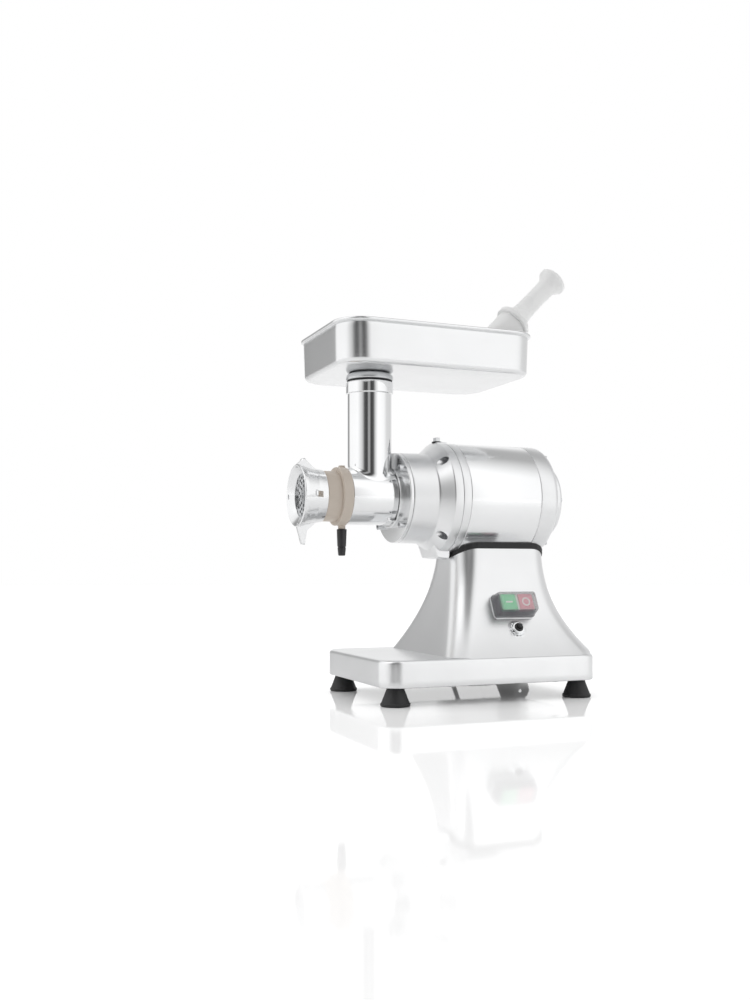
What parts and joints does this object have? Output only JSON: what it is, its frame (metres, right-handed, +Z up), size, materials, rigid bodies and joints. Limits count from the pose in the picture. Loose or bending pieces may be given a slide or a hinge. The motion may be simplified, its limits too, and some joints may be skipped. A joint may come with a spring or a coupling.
{
  "type": "electric meat grinder",
  "caption": "Table-top meat grinder: flared cast base, round gear motor, horizontal screw head with feed tube, tray, pusher and winged ring nut.",
  "frame": {"origin": "centre of the machine's bounding box without the cord, at table height", "axes": "+X from the plate end to the motor end along the screw axis, +Y away from the switch side, +Z up"},
  "size_m": [0.4586, 0.4085, 0.6235],
  "materials": {
    "cast_satin": "satin cast, machined and lightly polished",
    "polished_shell": "polished tube",
    "polished_head": "polished stainless casting",
    "tray_steel": "pressed stainless sheet",
    "screw_steel": "zinc plated and stainless fasteners",
    "blade_steel": "ground tool steel",
    "gear_steel": "machined steel",
    "lamination": "stacked sheet steel",
    "copper_wire": "varnished copper",
    "bearing_steel": "ground steel",
    "black_rubber": "matt",
    "black_plastic": "matt",
    "grey_plastic": "matt",
    "beige_coat": "matt beige coating",
    "white_plastic": "slightly translucent white",
    "clear_boot": "clear soft plastic",
    "green_button": "glossy",
    "red_button": "glossy",
    "chrome_trim": "bright",
    "light_plastic": "matt"
  },
  "bodies": {
    "frame": {"base_casting": "cast_satin", "bottom_cover": "tray_steel", "bottom_cover_screws": "screw_steel", "rubber_feet": "black_rubber", "foot_screws": "screw_steel", "saddle_gasket": "black_rubber", "saddle_screws": "screw_steel", "motor_shell": "polished_shell", "rear_cap": "cast_satin", "fan_cowl": "cast_satin", "cowl_screws": "screw_steel", "stator_core": "lamination", "stator_windings": "copper_wire", "front_motor_bearing": "bearing_steel", "rear_motor_bearing": "bearing_steel", "gearbox_housing": "cast_satin", "gearbox_cover": "cast_satin", "cover_screws": "screw_steel", "flange_bolts": "gear_steel", "oil_plug": "screw_steel", "oil_plug_washer": "black_rubber", "layshaft_bearings": "bearing_steel", "output_bearings": "bearing_steel", "shaft_seal": "black_rubber", "run_capacitor": "light_plastic", "terminal_block": "light_plastic", "switch_body": "grey_plastic", "switch_boot": "clear_boot", "breaker_body": "black_plastic", "breaker_ring": "chrome_trim", "cable_gland": "black_rubber", "mains_cord": "black_rubber", "cord_coil": "black_rubber", "mains_plug": "black_rubber", "plug_pins": "chrome_trim"},
    "rotor": {"rotor_core": "lamination", "motor_shaft": "gear_steel", "cooling_fan": "grey_plastic"},
    "intermediate": {"layshaft": "gear_steel", "layshaft_wheel": "gear_steel"},
    "output": {"output_shaft": "gear_steel", "output_wheel": "gear_steel"},
    "head": {"head_casting": "polished_head", "head_seal": "black_rubber", "guide_pin": "screw_steel"},
    "screw": {"feed_screw": "polished_head", "knife": "blade_steel"},
    "plate": {"perforated_plate": "blade_steel"},
    "nut": {"ring_nut": "polished_head"},
    "release": {"release_ring": "beige_coat", "release_lever": "black_plastic"},
    "lock": {"lock_screw": "screw_steel", "lock_knob": "black_plastic"},
    "tray": {"feed_tray": "tray_steel", "tray_neck": "tray_steel"},
    "pusher_body": {"pusher": "white_plastic"},
    "start": {"start_button": "green_button"},
    "stop": {"stop_button": "red_button"},
    "reset": {"reset_button": "black_plastic"}
  },
  "joints": [
    {"name": "rotor_spin", "type": "hinge", "parent": "frame", "child": "rotor", "pos_m": [0.04, -0.015, 0.2805], "axis": [1, 0, 0], "continuous": true},
    {"name": "layshaft_spin", "type": "hinge", "parent": "frame", "child": "intermediate", "pos_m": [0.04, -0.015, 0.243], "axis": [1, 0, 0], "continuous": true},
    {"name": "output_spin", "type": "hinge", "parent": "frame", "child": "output", "pos_m": [0.04, -0.015, 0.2805], "axis": [1, 0, 0], "continuous": true},
    {"name": "head_slide", "type": "slide", "parent": "frame", "child": "head", "axis": [-1, 0, 0], "range_m": [0, 0.03]},
    {"name": "screw_spin", "type": "hinge", "parent": "head", "child": "screw", "pos_m": [0.04, -0.015, 0.2805], "axis": [1, 0, 0], "continuous": true},
    {"name": "plate_slide", "type": "slide", "parent": "head", "child": "plate", "axis": [-1, 0, 0], "range_m": [0, 0.0075]},
    {"name": "nut_turn", "type": "hinge", "parent": "plate", "child": "nut", "pos_m": [0.04, -0.015, 0.2805], "axis": [-1, 0, 0], "range_deg": [0, 1080]},
    {"name": "release_turn", "type": "hinge", "parent": "head", "child": "release", "pos_m": [0.04, -0.015, 0.2805], "axis": [1, 0, 0], "range_deg": [0, 90]},
    {"name": "lock_turn", "type": "hinge", "parent": "frame", "child": "lock", "pos_m": [-0.063, 0.049, 0.2805], "axis": [0, 1, 0], "range_deg": [0, 720]},
    {"name": "tray_lift", "type": "slide", "parent": "head", "child": "tray", "axis": [0, 0, 1], "range_m": [0, 0.04]},
    {"name": "pusher_slide", "type": "slide", "parent": "tray", "child": "pusher_body", "axis": [0.7071, 0, 0.7071], "range_m": [0, 0.12]},
    {"name": "start_press", "type": "slide", "parent": "frame", "child": "start", "axis": [0, 0.8988, -0.4384], "range_m": [0, 0.003], "stiffness_N_per_m": 500, "springref_m": -0.001},
    {"name": "stop_press", "type": "slide", "parent": "frame", "child": "stop", "axis": [0, 0.8988, -0.4384], "range_m": [0, 0.003], "stiffness_N_per_m": 500, "springref_m": -0.001},
    {"name": "reset_press", "type": "slide", "parent": "frame", "child": "reset", "axis": [0, 0.8387, -0.5446], "range_m": [0, 0.002], "stiffness_N_per_m": 500, "springref_m": -0.001}
  ],
  "couplings": [
    {"joint": "layshaft_spin", "follows": "rotor_spin", "ratio": -0.2766},
    {"joint": "output_spin", "follows": "rotor_spin", "ratio": 0.10756},
    {"joint": "screw_spin", "follows": "rotor_spin", "ratio": 0.10756},
    {"joint": "plate_slide", "follows": "nut_turn", "m_per_rad": 0.00039789}
  ]
}
